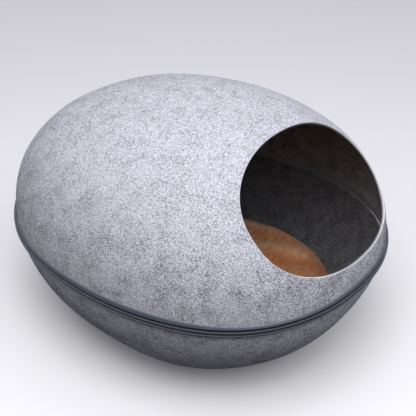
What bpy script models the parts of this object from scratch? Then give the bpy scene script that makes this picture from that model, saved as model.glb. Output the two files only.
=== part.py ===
"""Felt cat cave: an egg of two pressed felt shells that a zip joins, with a plush cushion in the bowl.

Metres, +Z up. The origin is on the floor under the middle of the egg, and the opening looks along +X and up.
"""

import math

import bmesh
import bpy
from mathutils import Matrix, Vector

# The egg, on the outside of its felt
HALF_LENGTH = 0.240
HALF_WIDTH = 0.200
SEAM_HEIGHT = 0.137
DOME_RISE = 0.163
BOWL_DEPTH = 0.1765  # the bowl's curve would end here below the seam, had it no flat base
FRONT_WIDENING = 0.055  # share by which the front end is wider than the middle

# Roundness of each curve: 2 is an ellipse, more is boxier
PLAN_ROUNDNESS = 2.2
DOME_ROUNDNESS = 2.2
BOWL_ROUNDNESS = 1.826

# Felt, and the straight edge that the zip is sewn to
FELT_THICKNESS = 0.003
EDGE_BAND = 0.006
DOME_EDGE = 0.0055  # the dome's edge above the seam
BOWL_EDGE = -0.0038  # the bowl's edge below the seam

# The opening: an oval cut straight through the dome, along a line that faces forwards and up
OPENING_TILT = math.radians(46.5)
OPENING_LIFT = 0.0248  # from the line through the origin up to the oval's middle, square to the cut
OPENING_HALF_WIDTH = 0.1165
OPENING_HALF_LENGTH = 0.0799
OPENING_ROUNDNESS = 2.2

# Cushion: it fills the bowl's floor, and its top sags between soft ridges
CUSHION_REACH = 0.772  # share of the egg's plan that its widest line reaches
CUSHION_SIDE_CLEARANCE = 0.002
CUSHION_STEPS = 48
CUSHION_FLAT_REACH = 0.48
CUSHION_UNDERSIDE = (0.004, 0.012, 0.021, 0.030, 0.040)  # heights up the bowl that its underside follows
CUSHION_SIDE = ((1.0, 0.0495), (0.985, 0.0540), (0.955, 0.0570))  # (share of its reach, height)
CUSHION_TOP = (0.90, 0.79, 0.65, 0.50, 0.33, 0.16)  # shares of its reach
CUSHION_CREST_HEIGHT = 0.0585
CUSHION_MIDDLE_HEIGHT = 0.053

GAP = 0.0003  # between pieces that touch
STEPS = 72  # round the egg
FILL_ROUNDS = 4  # the front's widening makes one round fall short
HALVINGS = 30
DOME_ROWS = 20
BOWL_LEVELS = 11

# Zip: each section is (out from the felt's outer face, up from the seam), in order round its outline
UPPER_TAPE = (
    (0.0003, 0.0093), (0.0003, 0.0060), (0.0019, 0.0056), (0.0021, 0.0036),
    (0.0032, 0.0036), (0.0030, 0.0080), (0.0024, 0.0092), (0.0010, 0.0098),
)
LOWER_TAPE = (
    (0.0003, -0.0042), (0.0002, -0.0054), (0.0012, -0.0058),
    (0.0027, -0.0051), (0.0032, -0.0036), (0.0021, -0.0036),
)
COIL = (
    (0.0010, 0.0008), (0.0016, 0.0002), (0.0034, 0.0002),
    (0.0040, 0.0009), (0.0040, 0.0025), (0.0033, 0.0033), (0.0014, 0.0033),
)
COIL_OUT = max(out for out, up in COIL)

# Slider and pull, on the far side: along the zip, out from it, up
SLIDER_STEP = 16  # the straight stretch of the zip that it sits on, counted from +X
SLIDER_PLATE = Vector((0.0100, 0.0016, 0.0080))
BRIDGE = Vector((0.0080, 0.0036, 0.0020))
BRIDGE_HOLE = Vector((0.0052, 0.0018, 0.0060))
PULL_TAB = Vector((0.0260, 0.0012, 0.0070))
PULL_HOLE = Vector((0.0050, 0.0060, 0.0034))
PULL_BAR = 0.0014  # material between the tab's hole and its end
PULL_DROOP = math.radians(6)
BRIDGE_SUNK = 0.0004  # how far the bridge's feet go into the plate
PLATE_BEVEL = 0.0006
SMALL_BEVEL = 0.0004  # on the bridge and the pull

# Angles past which an edge looks sharp
CLOTH_CREASE = math.radians(50)
BAND_CREASE = math.radians(35)


def signed_power(value, exponent):
    return math.copysign(abs(value) ** exponent, value)


def plan_point(angle, reach=1.0):
    """A point of the egg's plan at this share of its full reach."""
    along = reach * signed_power(math.cos(angle), 2 / PLAN_ROUNDNESS)
    across = reach * signed_power(math.sin(angle), 2 / PLAN_ROUNDNESS)
    return Vector((HALF_LENGTH * along, HALF_WIDTH * across * (1 + FRONT_WIDENING * along), 0))


def reach_at(depth_share, roundness):
    """How far the egg reaches where it has gone this share of its rise or depth."""
    return (1 - depth_share**roundness) ** (1 / roundness)


def step_angle(step):
    return 2 * math.pi * step / STEPS


def add_ring(bm, reach, height, steps=STEPS):
    """Level points round the egg's plan at this share of its reach."""
    ring = []
    for step in range(steps):
        point = plan_point(2 * math.pi * step / steps, reach)
        point.z = height
        ring.append(bm.verts.new(point))
    return ring


def join_rings(bm, lower, upper):
    """Faces between two level rings that point outwards."""
    count = len(lower)
    for here in range(count):
        there = (here + 1) % count
        bm.faces.new((lower[here], lower[there], upper[there], upper[here]))


def close_ring(bm, ring, height, upwards):
    """A fan of faces from a ring to a point over or under the middle of the egg."""
    middle = bm.verts.new((0, 0, height))
    for here, vert in enumerate(ring):
        following = ring[(here + 1) % len(ring)]
        bm.faces.new((vert, following, middle) if upwards else (following, vert, middle))


def make_material(name, colour, roughness, metallic=0.0):
    material = bpy.data.materials.new(name)
    material.use_nodes = True
    shader = material.node_tree.nodes["Principled BSDF"]
    shader.inputs["Base Color"].default_value = (*colour, 1)
    shader.inputs["Roughness"].default_value = roughness
    shader.inputs["Metallic"].default_value = metallic
    return material


def make_object(name, bm, material, sharp_angle=CLOTH_CREASE):
    mesh = bpy.data.meshes.new(name)
    bm.to_mesh(mesh)
    bm.free()
    mesh.shade_smooth()
    mesh.set_sharp_from_angle(angle=sharp_angle)
    mesh.materials.append(material)
    piece = bpy.data.objects.new(name, mesh)
    bpy.context.collection.objects.link(piece)
    return piece


def thicken(shell):
    """Gives the outer skin its felt, inwards."""
    felt = shell.modifiers.new("Felt", "SOLIDIFY")
    felt.thickness = FELT_THICKNESS
    felt.offset = -1
    felt.use_even_offset = True
    felt.use_quality_normals = True


def dome_fill(away):
    """The share of the dome that this vector from the middle of the seam reaches: 1 on its outer face."""
    along = away.x / HALF_LENGTH
    across = away.y / (HALF_WIDTH * (1 + FRONT_WIDENING * along))
    plan = abs(along) ** PLAN_ROUNDNESS + abs(across) ** PLAN_ROUNDNESS
    rise = abs(away.z / DOME_RISE) ** DOME_ROUNDNESS
    return (plan ** (DOME_ROUNDNESS / PLAN_ROUNDNESS) + rise) ** (1 / DOME_ROUNDNESS)


def on_dome(point):
    """The dome's outer face in line with this point, seen from the middle of the seam."""
    seam_middle = Vector((0, 0, SEAM_HEIGHT))
    away = point - seam_middle
    for _ in range(FILL_ROUNDS):
        away /= dome_fill(away)
    return seam_middle + away


def opening_point(turn):
    """The cut edge on the dome's outer face, at this angle round the opening from its low front lip."""
    facing = Vector((math.cos(OPENING_TILT), 0, math.sin(OPENING_TILT)))
    upwards = Vector((-math.sin(OPENING_TILT), 0, math.cos(OPENING_TILT)))
    lift = OPENING_LIFT - OPENING_HALF_LENGTH * signed_power(math.cos(turn), 2 / OPENING_ROUNDNESS)
    aside = OPENING_HALF_WIDTH * signed_power(math.sin(turn), 2 / OPENING_ROUNDNESS)
    start = upwards * lift + Vector((0, aside, -SEAM_HEIGHT))
    inner, outer = HALF_WIDTH / 2, 2 * HALF_WIDTH
    for _ in range(HALVINGS):
        between = (inner + outer) / 2
        if dome_fill(start + facing * between) < 1:
            inner = between
        else:
            outer = between
    return start + facing * inner + Vector((0, 0, SEAM_HEIGHT))


def add_dome(material):
    """Rows of points from the opening's cut edge down to the straight band that the zip is sewn to."""
    bm = bmesh.new()
    edge = SEAM_HEIGHT + DOME_EDGE
    band = [plan_point(step_angle(step)) + Vector((0, 0, edge + EDGE_BAND)) for step in range(STEPS)]
    rim = [opening_point(step_angle(step)) for step in range(STEPS)]
    rings = [add_ring(bm, 1.0, edge), [bm.verts.new(point) for point in band]]
    for row in range(1, DOME_ROWS + 1):
        share = row / DOME_ROWS
        rings.append([bm.verts.new(on_dome(low.lerp(high, share))) for low, high in zip(band, rim)])
    for lower, upper in zip(rings, rings[1:]):
        join_rings(bm, lower, upper)
    thicken(make_object("felt_dome", bm, material))


def add_bowl(material):
    bm = bmesh.new()
    edge = SEAM_HEIGHT + BOWL_EDGE
    rings = [add_ring(bm, 1.0, edge), add_ring(bm, 1.0, edge - EDGE_BAND)]
    start = math.asin(((EDGE_BAND - BOWL_EDGE) / BOWL_DEPTH) ** (BOWL_ROUNDNESS / 2))
    end = math.asin((SEAM_HEIGHT / BOWL_DEPTH) ** (BOWL_ROUNDNESS / 2))
    for level in range(1, BOWL_LEVELS + 1):
        descent = start + (end - start) * level / BOWL_LEVELS
        share = math.sin(descent) ** (2 / BOWL_ROUNDNESS)
        height = 0 if level == BOWL_LEVELS else SEAM_HEIGHT - BOWL_DEPTH * share
        rings.append(add_ring(bm, reach_at(share, BOWL_ROUNDNESS), height))
    for upper, lower in zip(rings, rings[1:]):
        join_rings(bm, lower, upper)
    close_ring(bm, rings[-1], 0, upwards=False)
    bowl = make_object("felt_bowl", bm, material)
    thicken(bowl)


def inside_bowl(height, distance):
    """The reach and height of the point this far inside the bowl's outer face, square to it."""
    half_step = 0.0001
    shares = [(SEAM_HEIGHT - height + shift) / BOWL_DEPTH for shift in (half_step, 0, -half_step)]
    below, here, above = (reach_at(share, BOWL_ROUNDNESS) for share in shares)
    flare = HALF_WIDTH * (above - below) / (2 * half_step)
    slant = math.hypot(1, flare)
    return here - distance / (slant * HALF_WIDTH), height + distance * flare / slant


def add_band(name, section, material, flip=1):
    """A strip of one section that runs right round the seam; flip -1 turns the section upside down."""
    bm = bmesh.new()
    edge = [plan_point(step_angle(step)) for step in range(STEPS)]
    stations = []
    for step in range(STEPS):
        along = edge[(step + 1) % STEPS] - edge[step - 1]
        outwards = Vector((along.y, -along.x, 0)).normalized()
        station = []
        for out, up in section:
            point = edge[step] + outwards * out
            point.z = SEAM_HEIGHT + up * flip
            station.append(bm.verts.new(point))
        stations.append(station)
    for step, station in enumerate(stations):
        following = stations[(step + 1) % STEPS]
        for corner in range(len(section)):
            beside = (corner + 1) % len(section)
            bm.faces.new((station[corner], station[beside], following[beside], following[corner]))
    bmesh.ops.recalc_face_normals(bm, faces=bm.faces[:])
    return make_object(name, bm, material, sharp_angle=BAND_CREASE)


def block(name, size, centre, bevel=0.0):
    bm = bmesh.new()
    place = Matrix.Translation(centre) @ Matrix.Diagonal((*size, 1))
    bmesh.ops.create_cube(bm, size=1.0, matrix=place)
    if bevel:
        bmesh.ops.bevel(bm, geom=bm.edges[:], offset=bevel, segments=1, affect="EDGES")
    mesh = bpy.data.meshes.new(name)
    bm.to_mesh(mesh)
    bm.free()
    piece = bpy.data.objects.new(name, mesh)
    bpy.context.collection.objects.link(piece)
    return piece


def combine(piece, tool, operation):
    step = piece.modifiers.new(tool.name, "BOOLEAN")
    step.operation = operation
    step.object = tool
    step.solver = "EXACT"
    tool.parent = piece
    tool.display_type = "WIRE"
    tool.hide_render = True


def add_slider(material):
    """The slider on the middle of one straight stretch of the zip, with its pull lying along the zip."""
    first = plan_point(step_angle(SLIDER_STEP))
    second = plan_point(step_angle(SLIDER_STEP + 1))
    along = (first - second).normalized()
    seat = bpy.data.objects.new("slider_seat", None)
    seat.location = (first + second) / 2 + Vector((0, 0, SEAM_HEIGHT))
    seat.rotation_euler.z = math.atan2(along.y, along.x) + math.pi
    bpy.context.collection.objects.link(seat)

    plate_middle = -(COIL_OUT + GAP + SLIDER_PLATE.y / 2)
    plate_face = -(COIL_OUT + GAP + SLIDER_PLATE.y)
    bridge_middle = plate_face + BRIDGE_SUNK - BRIDGE.y / 2
    slider = block("zip_slider", SLIDER_PLATE, Vector((0, plate_middle, 0)), bevel=PLATE_BEVEL)
    bridge = block("bridge", BRIDGE, Vector((0, bridge_middle, 0)), bevel=SMALL_BEVEL)
    hole_middle = plate_face - BRIDGE_HOLE.y / 2
    hole = block("bridge_hole", BRIDGE_HOLE, Vector((0, hole_middle, 0)))
    combine(bridge, hole, "DIFFERENCE")
    combine(slider, bridge, "UNION")

    bar_middle = Vector((0, hole_middle, 0))
    pull_middle = Vector(((PULL_TAB.x - PULL_BAR) / 2, 0, 0))
    pull = block("zip_pull", PULL_TAB, pull_middle, bevel=SMALL_BEVEL)
    window_middle = Vector((PULL_BAR / 2 + PULL_HOLE.x / 2, 0, 0))
    window = block("pull_hole", PULL_HOLE, window_middle)
    combine(pull, window, "DIFFERENCE")
    pull.location = bar_middle
    pull.rotation_euler.y = PULL_DROOP

    for piece in (slider, pull):
        piece.parent = seat
        piece.data.materials.append(material)


def cushion_lift(x, y):
    """Soft ridges and sags of the cushion's top: (x, y, spread, height) each, in metres."""
    swells = (
        (0.075, 0.135, 0.060, 0.005),
        (-0.045, 0.120, 0.050, -0.006),
        (0.020, 0.095, 0.040, -0.007),
        (0.105, 0.085, 0.040, -0.006),
        (0.060, 0.085, 0.028, 0.003),
        (-0.090, -0.060, 0.070, -0.005),
        (0.050, -0.090, 0.060, 0.004),
    )
    lift = 0
    for middle_x, middle_y, spread, height in swells:
        distance = math.hypot(x - middle_x, y - middle_y)
        lift += height * math.exp(-((distance / spread) ** 2))
    return lift


def add_cushion(material):
    """A filled oval: its underside lies in the bowl, its side rounds over, and its top sags."""
    bm = bmesh.new()
    floor = FELT_THICKNESS + GAP
    rings = [add_ring(bm, CUSHION_FLAT_REACH, floor, CUSHION_STEPS)]
    for height in CUSHION_UNDERSIDE:
        reach, height = inside_bowl(height, FELT_THICKNESS + CUSHION_SIDE_CLEARANCE)
        rings.append(add_ring(bm, reach, height, CUSHION_STEPS))
    for share, height in CUSHION_SIDE:
        rings.append(add_ring(bm, CUSHION_REACH * share, height, CUSHION_STEPS))
    for share in CUSHION_TOP:
        crest = (share / CUSHION_TOP[0]) ** 2
        height = CUSHION_MIDDLE_HEIGHT + (CUSHION_CREST_HEIGHT - CUSHION_MIDDLE_HEIGHT) * crest
        rings.append(add_ring(bm, CUSHION_REACH * share, height, CUSHION_STEPS))
        for vert in rings[-1]:
            vert.co.z += cushion_lift(vert.co.x, vert.co.y)
    for lower, upper in zip(rings, rings[1:]):
        join_rings(bm, lower, upper)
    close_ring(bm, rings[0], floor, upwards=False)
    close_ring(bm, rings[-1], CUSHION_MIDDLE_HEIGHT + cushion_lift(0, 0), upwards=True)
    make_object("cushion", bm, material)


def main():
    for old in list(bpy.data.objects):
        bpy.data.objects.remove(old, do_unlink=True)
    felt = make_material("grey_felt", (0.52, 0.53, 0.59), 0.95)
    tape = make_material("slate_tape", (0.075, 0.095, 0.14), 0.8)
    nylon = make_material("grey_nylon", (0.13, 0.14, 0.17), 0.45)
    metal = make_material("dark_metal", (0.30, 0.31, 0.34), 0.35, metallic=1.0)
    plush = make_material("brown_plush", (0.36, 0.16, 0.07), 0.9)
    add_dome(felt)
    add_bowl(felt)
    add_band("zip_tape_upper", UPPER_TAPE, tape)
    add_band("zip_tape_lower", LOWER_TAPE, tape)
    add_band("zip_coil_upper", COIL, nylon)
    add_band("zip_coil_lower", COIL, nylon, flip=-1)
    add_slider(metal)
    add_cushion(plush)


main()
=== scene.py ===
"""Looks of the felt cat cave: two pressed felt shells, the coil zip that joins them, and a plush cushion.

Metres, +Z up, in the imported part's frame: the opening looks along +X and up, and the zip's slider is on the
+Y side.
"""

import itertools
import math

import bmesh
import bpy
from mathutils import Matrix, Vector, noise


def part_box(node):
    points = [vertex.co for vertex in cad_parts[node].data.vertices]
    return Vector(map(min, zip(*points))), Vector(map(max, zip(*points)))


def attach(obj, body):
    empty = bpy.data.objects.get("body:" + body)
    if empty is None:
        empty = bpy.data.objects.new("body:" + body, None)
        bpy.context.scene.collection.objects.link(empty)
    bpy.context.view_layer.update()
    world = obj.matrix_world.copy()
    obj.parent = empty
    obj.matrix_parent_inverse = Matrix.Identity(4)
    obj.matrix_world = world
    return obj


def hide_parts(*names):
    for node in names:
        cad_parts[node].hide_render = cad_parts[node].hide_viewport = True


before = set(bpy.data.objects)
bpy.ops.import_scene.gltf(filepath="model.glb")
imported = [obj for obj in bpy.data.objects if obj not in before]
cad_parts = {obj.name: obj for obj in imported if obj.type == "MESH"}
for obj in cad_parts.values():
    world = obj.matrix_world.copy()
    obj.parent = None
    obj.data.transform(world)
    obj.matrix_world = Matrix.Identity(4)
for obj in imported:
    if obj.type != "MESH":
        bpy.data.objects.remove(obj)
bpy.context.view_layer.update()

# ----------------------------------------------------------------------------------------------------------
# The mould. Both shells are pressed on one egg: an oval plan, a little wider at the front, with a boxy dome
# over the seam and a rounder bowl under it that ends in a flat base. The zip follows the seam, which sways a
# little.
# ----------------------------------------------------------------------------------------------------------

dome_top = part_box("felt_dome")[1]
half_length, half_width = dome_top.x, dome_top.y
seam_height = 0.137
dome_rise = dome_top.z - seam_height
bowl_depth = 0.1765  # where the bowl's curve would end below the seam, had it no flat base
front_widening = 0.055
plan_roundness, dome_roundness, bowl_roundness = 2.2, 2.2, 1.826
seam_middle = Vector((0, 0, seam_height))

# Where the seam dips or lifts: (degrees round from +X, spread in degrees, metres)
seam_sways = (
    (318, 26, -0.0040), (266, 18, -0.0006), (225, 16, 0.0004), (120, 25, 0.0008), (30, 20, -0.0005),
)
zip_start = 82.5  # degrees round from +X, behind the slider


def plan_place(degrees, reach=1.0):
    """A point of the egg's plan at this share of its full reach."""
    turn = math.radians(degrees)
    along = reach * math.copysign(abs(math.cos(turn)) ** (2 / plan_roundness), math.cos(turn))
    across = reach * math.copysign(abs(math.sin(turn)) ** (2 / plan_roundness), math.sin(turn))
    return Vector((half_length * along, half_width * across * (1 + front_widening * along), 0))


def swell(degrees, bumps):
    """How far bumps, of (middle in degrees, spread in degrees, height), lift a line round the egg here."""
    lift = 0
    for middle, spread, height in bumps:
        apart = (degrees - middle + 180) % 360 - 180
        lift += height * math.exp(-((apart / spread) ** 2))
    return lift


def seam_place(degrees, height=0):
    """A point of the mould's seam, this high over its swaying line."""
    place = plan_place(degrees)
    place.z = seam_height + height + swell(degrees, seam_sways)
    return place


def plan_share(x, y):
    """How far out in the egg's plan a place is: 0 in the middle, 1 on the seam."""
    along = x / half_length
    across = y / (half_width * (1 + front_widening * along))
    return (abs(along) ** plan_roundness + abs(across) ** plan_roundness) ** (1 / plan_roundness)


def on_mould(point):
    """The mould's outer face in line with this point, seen from the middle of the seam."""
    away = Vector(point) - seam_middle
    roundness, rise = (dome_roundness, dome_rise) if away.z > 0 else (bowl_roundness, bowl_depth)
    for _ in range(4):  # the plan widens towards the front, so the scaling is repeated until it settles
        sideways, upwards = plan_share(away.x, away.y), abs(away.z / rise)
        away /= (sideways**roundness + upwards**roundness) ** (1 / roundness)
    return seam_middle + away


# ----------------------------------------------------------------------------------------------------------
# Felt. Light grey heather wool-and-polyester felt, 3 mm thick: pale matted fibres with darker ones carded
# in, which gather into specks and soft clouds, and more dark specks low down and to the rear as painted
# shade.
# The opening's cut edge is paler, partly because pressing has not flattened it and partly as a painted
# highlight, and greyer inside as painted shade. The inner faces are darker, partly as painted shade.
# ----------------------------------------------------------------------------------------------------------


class Wire:
    """A socket of a material's nodes. Arithmetic on wires adds Math nodes, and add() adds any other node."""

    def __init__(self, tree, socket=None):
        self.tree, self.socket = tree, socket

    def add(self, kind, settings=None, inputs=None, output=0):
        node = self.tree.nodes.new("ShaderNode" + kind)
        for name, value in (settings or {}).items():
            setattr(node, name, value)
        for name, value in (inputs or {}).items():
            self.plug(node.inputs[name], value)
        return Wire(self.tree, node.outputs[output])

    def plug(self, target, value):
        if isinstance(value, Wire):
            self.tree.links.new(value.socket, target)
        elif isinstance(value, tuple) and len(target.default_value) == 4:
            target.default_value = (*value, 1)
        else:
            target.default_value = value

    def maths(self, operation, *values):
        return self.add("Math", {"operation": operation}, dict(enumerate(values)))

    def __add__(self, other):
        return self.maths("ADD", self, other)

    def __sub__(self, other):
        return self.maths("SUBTRACT", self, other)

    def __rsub__(self, other):
        return self.maths("SUBTRACT", other, self)

    def __mul__(self, other):
        return self.maths("MULTIPLY", self, other)

    __radd__, __rmul__ = __add__, __mul__

    def axes(self):
        """The x, y and z of this place or direction."""
        split = self.add("SeparateXYZ", inputs={0: self})
        return [Wire(self.tree, split.socket.node.outputs[axis]) for axis in "XYZ"]

    def between(self, low, high):
        """0 up to low, 1 from high on, and smooth in between."""
        ends = {"From Min": low, "From Max": high, "Value": self}
        return self.add("MapRange", {"interpolation_type": "SMOOTHSTEP"}, ends)

    def wave(self, pitch):
        """From 0 to 1 and back in each of these pitches, in metres."""
        return 0.5 + 0.5 * self.maths("SINE", self * (math.tau / pitch))

    def mix(self, first, second):
        """The first colour where this wire is 0, the second where it is 1."""
        return self.add("Mix", {"data_type": "RGBA"}, {0: self, 6: first, 7: second}, output=2)

    def grain(self, place, size, detail=2.0, roughness=0.5):
        """Soft noise whose blots are about this many metres across."""
        inputs = {"Vector": place, "Scale": 1 / size, "Detail": detail, "Roughness": roughness}
        return self.add("TexNoise", inputs=inputs)

    def stretched(self, place, turn, scale):
        """The place turned and scaled, for marks that run one way."""
        return self.add("Mapping", inputs={"Vector": place, "Rotation": turn, "Scale": scale})

    def bump(self, height, distance, strength=1.0):
        return self.add("Bump", inputs={"Height": height, "Distance": distance, "Strength": strength})


def new_material(name, **constants):
    """A Principled material, the wire that draws on it, its Object coordinates, and its shader."""
    material = bpy.data.materials.new(name)
    material.use_nodes = True
    shader = material.node_tree.nodes["Principled BSDF"]
    draw = Wire(material.node_tree)
    for socket, value in constants.items():
        draw.plug(shader.inputs[socket.replace("_", " ")], value)
    place = draw.add("TexCoord", output=3)
    return material, draw, place, shader


def felt_material(name, pale, middle, dark, speckling=1.0, mottling=0.04):
    """Heather felt of pale, middling and dark fibres, darkened low down and to the rear as painted shade."""
    felt, draw, place, shader = new_material(
        name, Specular_IOR_Level=0.15, Sheen_Weight=0.12, Sheen_Roughness=0.6, Sheen_Tint=(0.9, 0.92, 1.0)
    )

    def strands(first_turn, size, low, high):
        """Matted fibres of one shade, carded in three directions."""
        heap = None
        for turn in ((0.2, 0.4, 0.3), (1.1, -0.5, 0.9), (-0.6, 0.8, 2.0)):
            lie = draw.stretched(place, tuple(first_turn + angle for angle in turn), (1.0, 0.2, 1.0))
            strand = draw.grain(lie, size, detail=2, roughness=0.65).between(low, high)
            heap = strand if heap is None else heap.maths("MAXIMUM", heap, strand)
        return heap

    clouds = draw.grain(place, 0.020, detail=4, roughness=0.6).between(0.42, 0.64)
    specks = draw.grain(place, 0.0015, detail=3, roughness=0.75)
    along, _, height = place.axes()
    # Painted shade: more dark specks towards the rear, low down, and most underneath.
    painted_shade_rear = along.between(0.08, -0.16)
    painted_shade_low, painted_shade_under = height.between(0.28, 0.17), height.between(0.150, 0.105)
    specks_gathered_and_shaded = (specks + 0.038 * clouds + 0.030 * painted_shade_under).between(0.565, 0.665)
    pale_specks = draw.grain(place, 0.0022, detail=3, roughness=0.8).between(0.44, 0.60)
    dark_strands = strands(0.0, 0.0011, 0.56, 0.63)
    pale_strands = strands(1.7, 0.0014, 0.56, 0.66)
    specks_and_painted_shade = speckling * (0.65 + 0.27 * painted_shade_low + 0.28 * painted_shade_rear)
    colour = pale_specks.mix(middle, pale)
    colour = (pale_strands * (0.35 * speckling)).mix(colour, pale)
    colour = (specks_gathered_and_shaded * specks_and_painted_shade).mix(colour, dark)
    colour = (dark_strands * specks_and_painted_shade * (0.80 + 0.20 * clouds)).mix(colour, dark)
    # More dark clouds low down and underneath: painted shade.
    colour = (clouds * (mottling + 0.10 * speckling * painted_shade_low) + 0.05 * painted_shade_under).mix(colour, dark)
    draw.plug(shader.inputs["Base Color"], colour)
    fuzz = draw.grain(place, 0.0011, detail=3, roughness=0.7) + 0.5 * draw.grain(place, 0.004, detail=2)
    draw.plug(shader.inputs["Normal"], draw.bump(fuzz + 0.25 * pale_strands, 0.0009, 0.9))
    draw.plug(shader.inputs["Roughness"], 0.86 + 0.12 * pale_specks)
    return felt


def cut_material():
    """The opening's cut edge: pale along its outer corner, partly loose fibres and partly a painted
    highlight, and greyer towards the inside as painted shade.
    """
    cut, draw, place, shader = new_material("felt_cut_edge", Specular_IOR_Level=0.15)
    depth = draw.add("Attribute", {"attribute_name": "depth"}, output=2)
    fibres = draw.grain(place, 0.0014, detail=3, roughness=0.75)
    # Pale outer corner, partly a painted highlight; grey towards the inside as painted shade.
    colour = depth.between(0.12, 0.46).mix((0.84, 0.845, 0.90), (0.30, 0.30, 0.33))
    colour = (fibres.between(0.56, 0.68) * 0.35).mix(colour, (0.28, 0.28, 0.32))
    draw.plug(shader.inputs["Base Color"], colour)
    draw.plug(shader.inputs["Roughness"], 0.86 + 0.12 * fibres)
    draw.plug(shader.inputs["Normal"], draw.bump(fibres, 0.0009, 0.6))
    return cut


felt = felt_material("heather_felt", (0.82, 0.825, 0.92), (0.685, 0.69, 0.77), (0.058, 0.058, 0.082))
# The inner faces are darker than the outer, partly their own grey and partly painted shade; the bowl's is
# darker than the dome's as painted shade.
felt_in_bowl = felt_material(
    "heather_felt_in_bowl", (0.235, 0.233, 0.250), (0.120, 0.119, 0.129), (0.015, 0.015, 0.018),
    mottling=0.12,
)
felt_in_dome = felt_material(
    "heather_felt_in_dome", (0.45, 0.445, 0.465), (0.245, 0.241, 0.252), (0.030, 0.030, 0.034),
    mottling=0.14,
)
cut_felt = cut_material()
# The cut edges behind the zip: a darker, less speckled copy of the felt, as painted shade.
shaded_cut_felt = felt_material(
    "felt_cut_edge_shaded", (0.26, 0.26, 0.28), (0.19, 0.19, 0.20), (0.05, 0.05, 0.06), speckling=0.6
)

felt_thickness = 0.003
felt_steps = 240  # points round each shell
edge_wear = 0.0012  # how far the felt's cut edges are rounded
zip_cover = 0.03  # cut edges lower than this over the seam are the trimmed ones behind the zip
calm_by_seam = 0.04  # the felt lies true on the mould at its sewn edge, and less so from here on


def start_loops(name, *loops):
    """A new piece of closed loops, each a circle pulled to its points."""
    bpy.ops.object.select_all(action="DESELECT")
    bpy.ops.mesh.primitive_circle_add(vertices=len(loops[0]))
    piece = bpy.context.object
    piece.name = piece.data.name = name
    bpy.ops.object.mode_set(mode="EDIT")
    for loop in loops[1:]:
        bpy.ops.mesh.primitive_circle_add(vertices=len(loop))
    bpy.ops.object.mode_set(mode="OBJECT")
    for vert, point in zip(piece.data.vertices, itertools.chain(*loops)):
        vert.co = point
    return piece


def bridge(piece, cuts=0):
    """Joins the piece's two loops by a skin, cut into rings."""
    bpy.context.view_layer.objects.active = piece
    bpy.ops.object.mode_set(mode="EDIT")
    bpy.ops.mesh.select_all(action="SELECT")
    bpy.ops.mesh.bridge_edge_loops(number_cuts=cuts, interpolation="LINEAR")
    bpy.ops.mesh.select_all(action="SELECT")
    bpy.ops.mesh.normals_make_consistent(inside=False)
    bpy.ops.object.mode_set(mode="OBJECT")


def close_ends(piece):
    bpy.context.view_layer.objects.active = piece
    bpy.ops.object.mode_set(mode="EDIT")
    bpy.ops.mesh.select_all(action="DESELECT")
    bpy.ops.mesh.select_non_manifold()
    bpy.ops.mesh.edge_face_add()
    bpy.ops.mesh.select_all(action="SELECT")
    bpy.ops.mesh.normals_make_consistent(inside=False)
    bpy.ops.object.mode_set(mode="OBJECT")


def finish_with(piece, kind, **settings):
    """Adds a modifier with these settings and applies it."""
    bpy.context.view_layer.objects.active = piece
    modifier = piece.modifiers.new(kind.title(), kind)
    for name, value in settings.items():
        setattr(modifier, name, value)
    bpy.ops.object.modifier_apply(modifier=modifier.name)


def shade_smooth(piece, degrees=180):
    bpy.ops.object.select_all(action="DESELECT")
    piece.select_set(True)
    bpy.context.view_layer.objects.active = piece
    bpy.ops.object.shade_smooth_by_angle(angle=math.radians(degrees))


def press_on_mould(piece):
    """Lays the piece on the mould, with the slight unevenness of pressed felt away from its sewn edge."""
    for vert in piece.data.vertices:
        place = on_mould(vert.co)
        from_seam = min(1, abs(place.z - seam_height) / calm_by_seam)
        unevenness = noise.noise(place * 11) * 0.0008 + noise.noise(place * 34 + seam_middle) * 0.0002
        vert.co = place + (place - seam_middle).normalized() * unevenness * from_seam


def make_felt(piece, inside, node):
    """Gives a pressed skin its thickness, its worn cut edges, its materials and its place in the frame."""
    inner_face, cut_edge, shaded_cut_edge = 1, 2, 3
    for material in (felt, inside, cut_felt, shaded_cut_felt):
        piece.data.materials.append(material)
    finish_with(
        piece, "SOLIDIFY", thickness=felt_thickness, offset=-1, use_even_offset=True,
        use_quality_normals=True, material_offset=inner_face, material_offset_rim=cut_edge,
    )
    finish_with(
        piece, "BEVEL", width=edge_wear, segments=3, limit_method="ANGLE",
        angle_limit=math.radians(55), material=cut_edge,
    )
    # Cut edges behind the zip take the darker copy of the felt: painted shade.
    for face in piece.data.polygons:
        if face.material_index == cut_edge and face.center.z < seam_height + zip_cover:
            face.material_index = shaded_cut_edge
    depth = piece.data.attributes.new("depth", "FLOAT", "POINT")
    for vert, share in zip(piece.data.vertices, depth.data):
        under = (on_mould(vert.co) - seam_middle).length - (vert.co - seam_middle).length
        share.value = under / felt_thickness
    shade_smooth(piece)
    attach(piece, "root")
    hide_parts(node)


# ----------------------------------------------------------------------------------------------------------
# Bowl. The lower shell is one piece of felt, pressed hot into the mould's lower half and trimmed level under
# the seam. It stands on the flat base that the press gives it.
# ----------------------------------------------------------------------------------------------------------

bowl_edge = -0.0038  # from the seam up to the trimmed edge
base_reach = (1 - (seam_height / bowl_depth) ** bowl_roundness) ** (1 / bowl_roundness)
felt_turns = [360 * step / felt_steps for step in range(felt_steps)]

bowl = start_loops(
    "bowl", [seam_place(degrees, bowl_edge) for degrees in felt_turns],
    [plan_place(degrees, base_reach) for degrees in felt_turns],
)
bridge(bowl, cuts=56)
press_on_mould(bowl)

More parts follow.
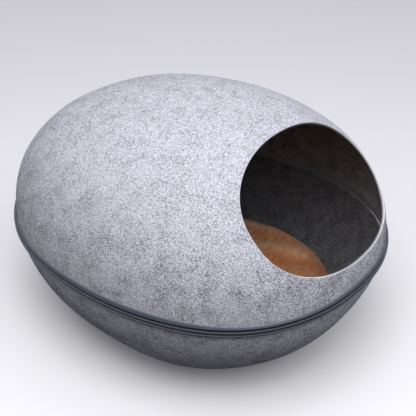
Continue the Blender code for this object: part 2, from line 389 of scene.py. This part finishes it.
# The flat base closes its lower loop.
bpy.ops.object.mode_set(mode="EDIT")
mesh = bmesh.from_edit_mesh(bowl.data)
for edge in mesh.edges:
    edge.select_set(edge.is_boundary and max(vert.co.z for vert in edge.verts) < seam_height / 2)
bmesh.update_edit_mesh(bowl.data)
bpy.ops.mesh.select_mode(type="EDGE")
bpy.ops.mesh.fill_grid()
bpy.ops.mesh.select_mode(type="VERT")
bpy.ops.mesh.select_all(action="SELECT")
bpy.ops.mesh.normals_make_consistent(inside=False)
bpy.ops.object.mode_set(mode="OBJECT")
for vert in bowl.data.vertices:
    vert.co.z = max(vert.co.z, 0)
make_felt(bowl, felt_in_bowl, "felt_bowl")

# ----------------------------------------------------------------------------------------------------------
# Dome. The upper shell is pressed the same way. A slanted cut through its front leaves the round opening,
# and the felt's bare edge is its only finish.
# ----------------------------------------------------------------------------------------------------------

dome_edge = 0.0055  # from the seam up to the trimmed edge
opening_tilt = math.radians(46.5)
opening_facing = Vector((math.cos(opening_tilt), 0, math.sin(opening_tilt)))
opening_up = Vector((-math.sin(opening_tilt), 0, math.cos(opening_tilt)))
opening_lift = 0.0248  # up the cut to the oval's middle, from the line through the origin square to it
opening_half_width, opening_half_length, opening_roundness = 0.1165, 0.0799, 2.2


def opening_loop(count):
    """The cut edge on the dome's outer face, from its low front lip round to it again."""
    loop = []
    for step in range(count):
        turn = math.tau * step / count
        aside, down = (
            math.copysign(abs(share) ** (2 / opening_roundness), share)
            for share in (math.sin(turn), math.cos(turn))
        )
        start = opening_up * (opening_lift - opening_half_length * down)
        start += Vector((0, opening_half_width * aside, 0))
        inner, outer = half_width / 2, half_width * 2
        for _ in range(30):  # halves the stretch that holds the outer face
            reach = (inner + outer) / 2
            point = start + opening_facing * reach
            within = (point - seam_middle).length < (on_mould(point) - seam_middle).length
            inner, outer = (reach, outer) if within else (inner, reach)
        loop.append(start + opening_facing * inner)
    return loop


dome = start_loops(
    "dome", opening_loop(felt_steps),
    [seam_place(degrees, dome_edge) for degrees in felt_turns],
)
bridge(dome, cuts=72)
press_on_mould(dome)
make_felt(dome, felt_in_dome, "felt_dome")

# ----------------------------------------------------------------------------------------------------------
# Zip tapes. A slate polyester tape is lockstitched flat on the outside of each felt edge, folded over at its
# sewn side, and runs on behind the coil. It is made straight, then bent round the seam.
# ----------------------------------------------------------------------------------------------------------

path_steps = 720
tape_cuts = 700
tape_end = 0.0002  # from each end of the tape to the end of the seam's path
dip_start, dip_span = 0.0048, 0.0040  # the tape's dips act over its fold, growing over this height


def seam_path():
    """Even points along the seam, from behind the slider round to it again, their degrees, and its length."""
    fine = 7200
    degrees = [zip_start + 360 * step / fine for step in range(fine + 1)]
    places = [seam_place(turn) for turn in degrees]
    gone = [0]
    for here, there in zip(places, places[1:]):
        gone.append(gone[-1] + (there - here).length)
    even, even_degrees, nearest = [], [], 0
    for step in range(path_steps + 1):
        wanted = gone[-1] * step / path_steps
        while nearest < fine - 1 and gone[nearest + 1] < wanted:
            nearest += 1
        share = (wanted - gone[nearest]) / (gone[nearest + 1] - gone[nearest])
        even.append(places[nearest].lerp(places[nearest + 1], share))
        even_degrees.append(degrees[nearest] % 360)
    return even, even_degrees, gone[-1]


path_points, path_degrees, zip_length = seam_path()


def curve_through(name, points):
    """A 3D line of straight stretches through these points."""
    curve = bpy.data.curves.new(name, "CURVE")
    curve.dimensions = "3D"
    curve.twist_mode = "Z_UP"
    line = curve.splines.new("POLY")
    line.points.add(len(points) - 1)
    for spot, point in zip(line.points, points):
        spot.co = (*point, 1)
    piece = bpy.data.objects.new(name, curve)
    bpy.context.collection.objects.link(piece)
    return piece


seam_curve = curve_through("seam_curve", path_points)


def bend_round_seam(piece):
    """Bends a straight piece round the seam: its X runs along the zip, its Y out from the felt, its Z up."""
    for vert in piece.data.vertices:
        vert.co.y = -vert.co.y
    piece.data.flip_normals()
    finish_with(piece, "CURVE", object=seam_curve, deform_axis="POS_X")


def keep_section(piece):
    """Keeps each point's place along the zip, out from the felt and up from the seam, for its material."""
    layer = piece.data.attributes.new("section", "FLOAT_VECTOR", "POINT")
    for vert, spot in zip(piece.data.vertices, layer.data):
        spot.vector = vert.co


def rounded(section):
    """A section with its corners cut off twice, for soft folds in cloth and round ends on castings."""
    for _ in range(2):
        softer = []
        for here, there in zip(section, section[1:] + section[:1]):
            for share in (0.25, 0.75):
                softer.append(tuple(a + (b - a) * share for a, b in zip(here, there)))
        section = softer
    return section


def lay_tape(name, section):
    """A straight tape of one section of (out, up) points, whose top edge was sewn lower in places."""
    section = rounded(section)
    ends = [[(x, out, up) for out, up in section] for x in (tape_end, zip_length - tape_end)]
    tape = start_loops(name, *ends)
    bridge(tape, cuts=tape_cuts)
    close_ends(tape)
    keep_section(tape)
    for vert in tape.data.vertices:
        degrees = path_degrees[round(path_steps * vert.co.x / zip_length)]
        above_fold = min(1, max(0, (vert.co.z - dip_start) / dip_span))
        vert.co.z += above_fold * swell(degrees, tape_dips)
    return tape


# The tapes' sections: (out from the felt, up from the seam)
tape_up = (
    (0.0002, 0.0092), (0.0002, 0.0), (0.0008, 0.0), (0.0008, 0.0042), (0.0020, 0.0044),
    (0.0030, 0.0048), (0.0032, 0.0066), (0.0028, 0.0088), (0.0012, 0.0100),
)
tape_down = (
    (0.0002, -0.0001), (0.0002, -0.0051), (0.0010, -0.0055), (0.0019, -0.0052),
    (0.0022, -0.0044), (0.0017, -0.0040), (0.0008, -0.0038), (0.0008, -0.0001),
)
# Where the upper tape's top edge runs lower: (degrees round from +X, spread in degrees, metres)
tape_dips = ((326, 24, -0.0030), (252, 12, -0.0012))


def woven_material():
    """Slate polyester tape: fine ribs, crossed by the slant of the twill. Its top edge has a painted
    highlight, its back is paler, and it has painted shade in the hollow under its fold and below the lower
    coil."""
    woven, draw, place, shader = new_material("slate_tape", Specular_IOR_Level=0.25, Sheen_Weight=0.15)
    along, out, up = draw.add("Attribute", {"attribute_name": "section"}, output=1).axes()
    rib = along.wave(0.00066)
    twill = (along + 1.4 * up - 1.4 * out).wave(0.0013)
    wear = draw.grain(place, 0.006, detail=4, roughness=0.65).between(0.35, 0.70)
    yarn = 0.55 * rib + 0.45 * twill
    colour = yarn.mix((0.048, 0.057, 0.088), (0.142, 0.158, 0.220))
    colour = (wear * 0.30).mix(colour, (0.150, 0.170, 0.215))
    # Painted highlight along the top edge of the fold.
    colour = (up.between(0.0091, 0.0097) * 0.7).mix(colour, (0.26, 0.29, 0.36))
    # Painted shade: in the hollow under the fold, and on the lower tape below the coil.
    painted_shade_under_fold = up.between(0.0052, 0.0046).maths("MINIMUM", out.between(0.0004, 0.0007))
    colour = (painted_shade_under_fold * 0.85).mix(colour, (0.010, 0.011, 0.016))
    colour = (up.between(-0.0030, -0.0038) * 0.75).mix(colour, (0.014, 0.016, 0.024))
    colour = out.between(0.0005, 0.0003).mix(colour, (0.20, 0.198, 0.207))
    draw.plug(shader.inputs["Base Color"], colour)
    draw.plug(shader.inputs["Roughness"], 0.72 + 0.15 * yarn)
    draw.plug(shader.inputs["Normal"], draw.bump(yarn, 0.00025, 0.6))
    return woven


slate_tape = woven_material()
for name, section, node in (
    ("tape_up", tape_up, "zip_tape_upper"),
    ("tape_down", tape_down, "zip_tape_lower"),
):
    tape = lay_tape(name, list(section))
    tape.data.materials.append(slate_tape)
    bend_round_seam(tape)
    shade_smooth(tape, 60)
    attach(tape, "root")
    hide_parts(node)

# ----------------------------------------------------------------------------------------------------------
# Zip coils. Each row of teeth is one nylon monofilament wound into a flat spring. The two springs mesh at
# the seam, half a turn apart, and a row of chain stitch holds each one on its tape.
# ----------------------------------------------------------------------------------------------------------

coil_pitch = 0.0015
coil_wire = 0.00034
coil_turn_points = 8
coil_out, coil_up = 0.0024, 0.00205  # the middle of each coil, out from the felt and off the seam
coil_depth, coil_height = 0.00125, 0.00075  # from there to the middle of its wire


def wind(name, points, radius):
    """A straight thread or wire through these points, as a mesh."""
    bpy.ops.object.select_all(action="DESELECT")
    wire = curve_through(name, points)
    wire.data.twist_mode = "MINIMUM"
    wire.data.bevel_depth = radius
    wire.data.bevel_resolution = 1
    wire.data.use_fill_caps = True
    wire.select_set(True)
    bpy.context.view_layer.objects.active = wire
    bpy.ops.object.convert(target="MESH")
    return bpy.context.object


def nylon_material():
    """Grey nylon, with painted shade in the grooves between its crowns and on the crowns to the front."""
    nylon, draw, place, shader = new_material("grey_nylon", Specular_IOR_Level=0.5)
    out = draw.add("Attribute", {"attribute_name": "section"}, output=1).axes()[1]
    shade = draw.grain(place, 0.009, detail=3).between(0.3, 0.7)
    painted_shade_front = place.axes()[0].between(-0.06, 0.14)
    crown = shade.mix((0.24, 0.25, 0.28), (0.34, 0.35, 0.40))
    # Painted shade on the crowns towards the front.
    crown = (painted_shade_front * 0.55).mix(crown, (0.080, 0.085, 0.105))
    # Painted shade in the grooves, off the crown of each turn.
    colour = out.between(0.0026, 0.0034).mix((0.012, 0.013, 0.017), crown)
    draw.plug(shader.inputs["Base Color"], colour)
    draw.plug(shader.inputs["Roughness"], 0.34 + 0.12 * shade)
    draw.plug(shader.inputs["Normal"], draw.bump(draw.grain(place, 0.0004), 0.00004, 0.4))
    return nylon


grey_nylon = nylon_material()
turns = round(zip_length / coil_pitch)
for name, side, node in (("coil_up", 1, "zip_coil_upper"), ("coil_down", -1, "zip_coil_lower")):
    points = []
    for step in range(turns * coil_turn_points):
        turn = math.tau * step / coil_turn_points + (math.pi if side < 0 else 0)
        out = coil_out + coil_depth * math.cos(turn)
        up = side * (coil_up + coil_height * math.sin(turn))
        points.append((zip_length * step / (turns * coil_turn_points), out, up))
    coil = wind(name, points, coil_wire)
    keep_section(coil)
    coil.data.materials.append(grey_nylon)
    bend_round_seam(coil)
    shade_smooth(coil)
    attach(coil, "root")
    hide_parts(node)

# ----------------------------------------------------------------------------------------------------------
# Sewing. Slate polyester thread: a lockstitch row holds each tape to its felt, and a chain stitch runs along
# the crown of each coil.
# ----------------------------------------------------------------------------------------------------------

stitch_length = 0.0030
thread_radius = 0.00022


def thread_material():
    """Slate polyester thread, whose plies catch the light in turn."""
    thread, draw, place, shader = new_material("slate_thread", Specular_IOR_Level=0.4)
    twist = draw.grain(place, 0.0007, detail=2)
    draw.plug(shader.inputs["Base Color"], twist.mix((0.075, 0.088, 0.120), (0.165, 0.185, 0.240)))
    draw.plug(shader.inputs["Roughness"], 0.55 + 0.2 * twist)
    return thread


slate_thread = thread_material()


def sew_row(name, out, up, length=stitch_length, sink=0.0006, radius=thread_radius):
    """A row of stitches: each lies on the cloth for most of its length, then goes down through it."""
    points = []
    count = round(zip_length / length)
    for stitch in range(count):
        for share, depth in ((0.00, 1.0), (0.14, 0.25), (0.30, 0.0), (0.70, 0.0), (0.86, 0.25)):
            points.append((zip_length * (stitch + share) / count, out - sink * depth, up))
    row = wind(name, points, radius)
    row.data.materials.append(slate_thread)
    bend_round_seam(row)
    shade_smooth(row)
    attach(row, "root")


sew_row("stitches_up", out=0.00318, up=0.0064)
sew_row("stitches_down", out=0.00205, up=-0.0050)
sew_row("coil_thread_up", out=0.00400, up=0.0020, length=0.0015, sink=0.0003, radius=0.00018)
sew_row("coil_thread_down", out=0.00400, up=-0.0020, length=0.0015, sink=0.0003, radius=0.00018)
bpy.data.objects.remove(seam_curve)

# ----------------------------------------------------------------------------------------------------------
# Cushion. A loose oval pad of orange-brown short plush over fibre fill. It fills the bowl's floor, its side
# rolls down to the felt, and its top sags between soft ridges. The ridges are paler, partly where the pile is
# brushed and partly as painted light, and the sags, the rolled side and the front have painted shade.
# ----------------------------------------------------------------------------------------------------------

# Folds of the slack top: (x, y, half length, half width, degrees its length is turned, height)
folds = (
    (0.072, 0.097, 0.036, 0.0100, 20, 0.0036),
    (0.112, 0.107, 0.020, 0.0110, -38, 0.0022),
    (0.042, 0.115, 0.026, 0.0110, 8, -0.0042),
    (0.098, 0.083, 0.026, 0.0095, 24, -0.0034),
    (0.020, 0.086, 0.030, 0.0100, -12, -0.0026),
    (0.024, 0.070, 0.034, 0.0110, -8, 0.0030),
    (-0.012, 0.136, 0.012, 0.0070, 10, 0.0028),
    (0.047, 0.099, 0.0045, 0.0035, 30, -0.0016),
    (0.044, 0.109, 0.0040, 0.0030, -20, -0.0014),
    (0.067, 0.100, 0.0050, 0.0035, 60, -0.0016),
    (0.088, 0.106, 0.0045, 0.0032, 10, -0.0015),
    (0.079, 0.083, 0.0050, 0.0035, 80, -0.0012),
    (-0.040, 0.060, 0.050, 0.0140, 35, 0.0032),
    (-0.070, 0.020, 0.040, 0.0150, 60, -0.0038),
    (-0.010, -0.020, 0.055, 0.0160, -20, 0.0030),
    (0.040, -0.060, 0.045, 0.0140, 25, -0.0036),
    (0.090, -0.030, 0.040, 0.0130, 70, 0.0028),
    (-0.090, -0.060, 0.045, 0.0140, -40, 0.0026),
)
# Where its side is drawn in or pushed out: (place, spread, shift)
cushion_pulls = (
    ((-0.026, 0.148), 0.023, (0.003, -0.010, -0.002)),
    ((0.100, 0.130), 0.030, (0.001, 0.001, 0)),
)
cushion_rise_limit = 0.007  # how far the fill may push the cloth out
cushion_rise_share = 0.35  # how much of that the cushion keeps
side_air, floor_air = 0.0016, 0.0003  # between the cushion and the felt, beside it and below it
# The crest is painted light along the ridge over the side, and past it the side has painted shade.
crest_reach, crest_width = 0.66, 0.03  # the ridge over the cushion's side, in shares of the egg's plan


def grown(value, low, high):
    """0 up to low, 1 from high on, and straight in between."""
    return min(1, max(0, (value - low) / (high - low)))


def fold_height(x, y):
    height = 0
    for middle_x, middle_y, fold_length, fold_width, degrees, rise in folds:
        turn = math.radians(degrees)
        along = ((x - middle_x) * math.cos(turn) + (y - middle_y) * math.sin(turn)) / fold_length
        across = ((y - middle_y) * math.cos(turn) - (x - middle_x) * math.sin(turn)) / fold_width
        height += rise * math.exp(-(along**2) - across**2)
    return height


def plush_material():
    """Orange-brown pile in tufts: paler on the folds, partly brushed pile and partly painted light, with
    painted shade in the sags and on the rolled side and front.
    """
    plush, draw, place, shader = new_material(
        "brown_plush", Specular_IOR_Level=0.15, Sheen_Weight=0.35, Sheen_Roughness=0.45,
        Sheen_Tint=(1.0, 0.75, 0.6),
    )
    raised = draw.add("Attribute", {"attribute_name": "raised"}, output=2)
    painted_side_shade = draw.add("Attribute", {"attribute_name": "painted_side_shade"}, output=2)
    brushed = draw.grain(place, 0.030, detail=4, roughness=0.65)
    # The folds' heights make them paler and the sags deeper: partly brushed pile, partly painted light and
    # shade.
    pale = (brushed + 0.24 * raised).between(0.28, 0.85)
    lie = draw.stretched(place, (0.0, 0.0, 0.6), (1.0, 0.45, 1.0))
    tufts = draw.grain(lie, 0.0060, detail=4, roughness=0.75)
    pile = draw.grain(place, 0.0012, detail=3, roughness=0.7)
    colour = pale.mix((0.50, 0.188, 0.066), (0.68, 0.38, 0.215))
    colour = (tufts.between(0.50, 0.66) * 0.40).mix(colour, (0.22, 0.068, 0.022))
    colour = (tufts.between(0.48, 0.34) * 0.44).mix(colour, (0.80, 0.52, 0.35))
    # Painted shade on the rolled side and towards the front.
    colour = (painted_side_shade * 0.7).mix(colour, (0.24, 0.078, 0.027))
    draw.plug(shader.inputs["Base Color"], colour)
    draw.plug(shader.inputs["Roughness"], 0.75 + 0.2 * pile)
    draw.plug(shader.inputs["Normal"], draw.bump(0.5 * pile + tufts, 0.0022, 0.8))
    return plush


brown_plush = plush_material()

# The filled pad's own shape, as a new piece without the frame's marks and with an even mesh
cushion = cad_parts["cushion"].copy()
cushion.data = cushion.data.copy()
cushion.name = cushion.data.name = "pad"
for key in list(cushion.keys()):
    if key.startswith("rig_"):
        del cushion[key]
cushion.parent = None
bpy.context.collection.objects.link(cushion)
bpy.ops.object.select_all(action="DESELECT")
cushion.select_set(True)
bpy.context.view_layer.objects.active = cushion
bpy.ops.object.mode_set(mode="EDIT")
bpy.ops.mesh.select_all(action="SELECT")
bpy.ops.mesh.remove_doubles(threshold=0.0001)
bpy.ops.object.mode_set(mode="OBJECT")
finish_with(cushion, "REMESH", mode="VOXEL", voxel_size=0.005)
finish_with(cushion, "SMOOTH", factor=0.5, iterations=6)
start = [vert.co.copy() for vert in cushion.data.vertices]

# The fill blows the cloth up over 20 frames, and a share of that is kept on the cushion's upper part.
blown = cushion.modifiers.new("Cloth", "CLOTH")
blown.settings.use_pressure = True
blown.settings.uniform_pressure_force = 4
blown.settings.effector_weights.gravity = 0
blown.settings.quality = 5
for step in range(1, 21):
    bpy.context.scene.frame_set(step)
bpy.ops.object.modifier_apply(modifier=blown.name)
for vert, before in zip(cushion.data.vertices, start):
    moved = vert.co - before
    if moved.length > cushion_rise_limit:
        moved *= cushion_rise_limit / moved.length
    vert.co = before + moved * cushion_rise_share * grown(before.z, 0.035, 0.055)
finish_with(cushion, "SUBSURF", levels=1, render_levels=1)

raised = cushion.data.attributes.new("raised", "FLOAT", "POINT")
painted_side_shade = cushion.data.attributes.new("painted_side_shade", "FLOAT", "POINT")
for vert, brushed, side_shade_value in zip(cushion.data.vertices, raised.data, painted_side_shade.data):
    reach = plan_share(vert.co.x, vert.co.y)
    for middle, spread, shift in cushion_pulls:
        near = math.exp(-(((vert.co.xy - Vector(middle)).length / spread) ** 2))
        vert.co += near * Vector(shift)
    top = grown(vert.co.z, 0.046, 0.052)
    lift = fold_height(vert.co.x, vert.co.y)
    crumple = 0.0011 * noise.noise(vert.co * 60) + 0.0006 * noise.noise(vert.co * 140 + seam_middle)
    vert.co.z += (lift + crumple) * top
    # Painted light along the crest over the side, faded out to the front; painted shade where the side rolls
    # off, and towards the front.
    towards_front = grown(vert.co.x, 0.045, 0.085)
    crest = math.exp(-(((reach - crest_reach) / crest_width) ** 2)) * (1 - 2.6 * towards_front)
    brushed.value = max(-1, min(1, (lift + crumple) / 0.003 + 0.45 * crest)) * top
    side_shade_value.value = min(1, grown(reach, crest_reach, crest_reach + 0.07) + 0.30 * towards_front)
    # The side stays off the bowl's inner face.
    from_middle = vert.co - seam_middle
    room = (on_mould(vert.co) - seam_middle).length - felt_thickness - side_air
    if from_middle.length > room:
        vert.co = seam_middle + from_middle * (room / from_middle.length)
    vert.co.z = max(vert.co.z, felt_thickness + floor_air)
cushion.data.materials.clear()
cushion.data.materials.append(brown_plush)
shade_smooth(cushion)
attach(cushion, "root")
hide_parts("cushion")

# ----------------------------------------------------------------------------------------------------------
# Slider and pull. Die-cast zinc with a dark lacquer that has worn on its edges: a shield plate with lips
# that hold the coils, an arch cast on it, and a tapered tab that hangs from the arch and lies along the zip.
# ----------------------------------------------------------------------------------------------------------


def metal_material():
    """Dark lacquer over zinc, which shows bare and paler in worn places and on sharp edges."""
    metal, draw, place, shader = new_material("dark_metal", Metallic=1.0)
    worn = draw.grain(place, 0.003, detail=4, roughness=0.65).between(0.45, 0.75)
    edges = draw.add("NewGeometry", output=7).between(0.52, 0.60)
    wear = worn * 0.5 + edges * 0.5
    draw.plug(shader.inputs["Base Color"], wear.mix((0.10, 0.105, 0.12), (0.42, 0.42, 0.44)))
    draw.plug(shader.inputs["Roughness"], 0.28 + 0.2 * worn)
    draw.plug(shader.inputs["Normal"], draw.bump(draw.grain(place, 0.0006, detail=2), 0.00003, 0.5))
    return metal


dark_metal = metal_material()

# The slider's degrees round from +X, worked back from its place in the frame
slider_low, slider_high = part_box("zip_slider")
slider_share = (slider_low.x + slider_high.x) / 2 / half_length
slider_degrees = math.degrees(math.acos(slider_share ** (plan_roundness / 2)))
slider_middle = seam_place(slider_degrees)
along_zip = (plan_place(slider_degrees - 0.5) - plan_place(slider_degrees + 0.5)).normalized()
out_from_zip = Vector((0, 0, 1)).cross(along_zip)


def soften_edges(piece, width):
    finish_with(piece, "BEVEL", width=width, segments=2, limit_method="ANGLE", angle_limit=math.radians(50))


def cast(name, outline, low, high, flat=True):
    """A plate of this outline, in (along, up) if it lies flat on the zip, or (along, out) if it stands."""
    ends = []
    for level in (low, high):
        ends.append([(a, level, b) if flat else (a, b, level) for a, b in rounded(list(outline))])
    piece = start_loops(name, *ends)
    bridge(piece)
    close_ends(piece)
    return piece


def join_into(piece, *others):
    bpy.ops.object.select_all(action="DESELECT")
    for part in (piece, *others):
        part.select_set(True)
    bpy.context.view_layer.objects.active = piece
    bpy.ops.object.join()


def seat_on_zip(piece, node):
    """Moves a casting made in (along, out, up) to its place on the zip, and gives it its metal."""
    for vert in piece.data.vertices:
        along, out, up = vert.co
        vert.co = slider_middle + along * along_zip + out * out_from_zip + Vector((0, 0, up))
    piece.data.materials.clear()
    piece.data.materials.append(dark_metal)
    shade_smooth(piece, 40)
    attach(piece, "root")
    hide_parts(node)


shield = ((0.0050, 0.0012), (0.0034, 0.0034), (-0.0010, 0.0040), (-0.0048, 0.0040), (-0.0050, 0.0016))
shield += tuple((along, -up) for along, up in reversed(shield))
plate_back, plate_front, lip_back, lip_front = 0.0043, 0.0056, 0.0034, 0.0048  # out from the felt
plate = cast("slider", shield, plate_back, plate_front)
soften_edges(plate, 0.00035)
lip = (
    (-0.0046, 0.0037), (0.0016, 0.0037), (0.0030, 0.0034),
    (0.0030, 0.0038), (0.0010, 0.0041), (-0.0046, 0.0041),
)
lips = [
    cast(f"lip_{side}", [(along, side * up) for along, up in lip], lip_back, lip_front) for side in (1, -1)
]
arch = (
    (-0.0040, 0.0053), (-0.0032, 0.0090), (0.0032, 0.0090), (0.0042, 0.0053), (0.0024, 0.0053),
    (0.0020, 0.0080), (-0.0020, 0.0080), (-0.0024, 0.0053),
)
arch_half_width = 0.0011
arch_piece = cast("arch", arch, -arch_half_width, arch_half_width, flat=False)
soften_edges(arch_piece, 0.00025)
join_into(plate, *lips, arch_piece)
seat_on_zip(plate, "zip_slider")

tab_outline = (
    (0.0012, 0.0010), (0.0008, 0.0030), (-0.0050, 0.0034),
    (-0.0180, 0.0026), (-0.0240, 0.0026), (-0.0250, 0.0008),
)
tab_outline += tuple((along, -up) for along, up in reversed(tab_outline))
hole_outline = ((-0.0008, 0.0018), (-0.0058, 0.0020), (-0.0058, -0.0020), (-0.0008, -0.0018))
grip_outline = ((-0.0100, 0.0016), (-0.0215, 0.0013), (-0.0215, -0.0013), (-0.0100, -0.0016))
tab_out, tab_thickness, tab_droop = 0.0069, 0.0011, math.radians(6)
hole_reach = 0.002  # the hole's cutter goes past both faces
grip_back, grip_front = tab_out + 0.0003, tab_out + 0.0008  # a raised pad on the tab's outer face
pull = cast("pull", tab_outline, tab_out - tab_thickness / 2, tab_out + tab_thickness / 2)
hole = cast("pull_hole", hole_outline, tab_out - hole_reach, tab_out + hole_reach)
finish_with(pull, "BOOLEAN", object=hole, operation="DIFFERENCE", solver="EXACT")
bpy.data.objects.remove(hole)
soften_edges(pull, 0.00025)
grip = cast("grip", grip_outline, grip_back, grip_front)
soften_edges(grip, 0.00015)
join_into(pull, grip)
for vert in pull.data.vertices:  # its free end hangs a little
    along, out, up = vert.co
    vert.co = (
        along * math.cos(tab_droop) - up * math.sin(tab_droop), out,
        up * math.cos(tab_droop) + along * math.sin(tab_droop),
    )
seat_on_zip(pull, "zip_pull")

# ----------------------------------------------------------------------------------------------------------
# Studio. A plain pale floor and backdrop. Soft light comes from overhead and from two sides, and two round
# softboxes hang over the front.
# ----------------------------------------------------------------------------------------------------------

bpy.ops.mesh.primitive_plane_add(size=12)
floor = bpy.context.object
floor.name = "floor"
floor.visible_diffuse = False
floor.data.materials.append(new_material("pale_floor", Base_Color=(0.93, 0.93, 0.95), Roughness=0.9)[0])

# The backdrop stands all round, out of the light's way, and is only seen.
backdrop_height = 9
bpy.ops.mesh.primitive_cylinder_add(
    vertices=96, radius=5.9, depth=backdrop_height, end_fill_type="NOTHING",
    location=(0, 0, backdrop_height / 2),
)
backdrop = bpy.context.object
backdrop.name = "backdrop"
backdrop.visible_diffuse = backdrop.visible_glossy = backdrop.visible_shadow = False
paper = new_material(
    "backdrop_paper", Base_Color=(0, 0, 0), Roughness=1,
    Emission_Color=(0.72, 0.72, 0.75), Emission_Strength=1,
)[0]
backdrop.data.materials.append(paper)

world = bpy.data.worlds.new("studio")
bpy.context.scene.world = world
world.use_nodes = True
sky = Wire(world.node_tree)
background = world.node_tree.nodes["Background"]
right, back, height = sky.add("TexCoord", output=0).axes()
overhead = height.between(0.55, 0.95)
walls = height.between(0.15, 0.60) * (1 - overhead)
sides = 1.10 * (0 - back).between(0.1, 0.9) + 0.90 * right.between(0.1, 0.9)
light = 0.90 * overhead + walls * sides
tint = sky.add("CombineColor", inputs={0: light, 1: 0.995 * light, 2: 1.05 * light})
sky.plug(background.inputs["Color"], tint)
background.inputs["Strength"].default_value = 1.0

# The softboxes: (place, watts)
lit_place = Vector((0, 0, 0.15))
for place, watts in ((Vector((0.95, -0.45, 1.30)), 6.1), (Vector((0.3, -0.6, 1.45)), 8.3)):
    bpy.ops.object.light_add(type="AREA", location=place)
    softbox = bpy.context.object
    softbox.data.shape, softbox.data.size, softbox.data.energy = "DISK", 0.9, watts
    softbox.rotation_euler = (lit_place - place).to_track_quat("-Z", "Y").to_euler()

# The camera stands where the photograph's did, worked out from the egg's outline.
camera_place = Vector((0.4625, -0.5499, 0.5607))
camera_forward = Vector((-0.5381, 0.6759, -0.5036))
bpy.ops.object.camera_add(location=camera_place)
camera = bpy.context.object
camera.rotation_euler = camera_forward.to_track_quat("-Z", "Y").to_euler()
camera.data.sensor_width, camera.data.lens = 36, 56.25
bpy.context.scene.camera = camera
bpy.context.scene.view_settings.view_transform = "Standard"
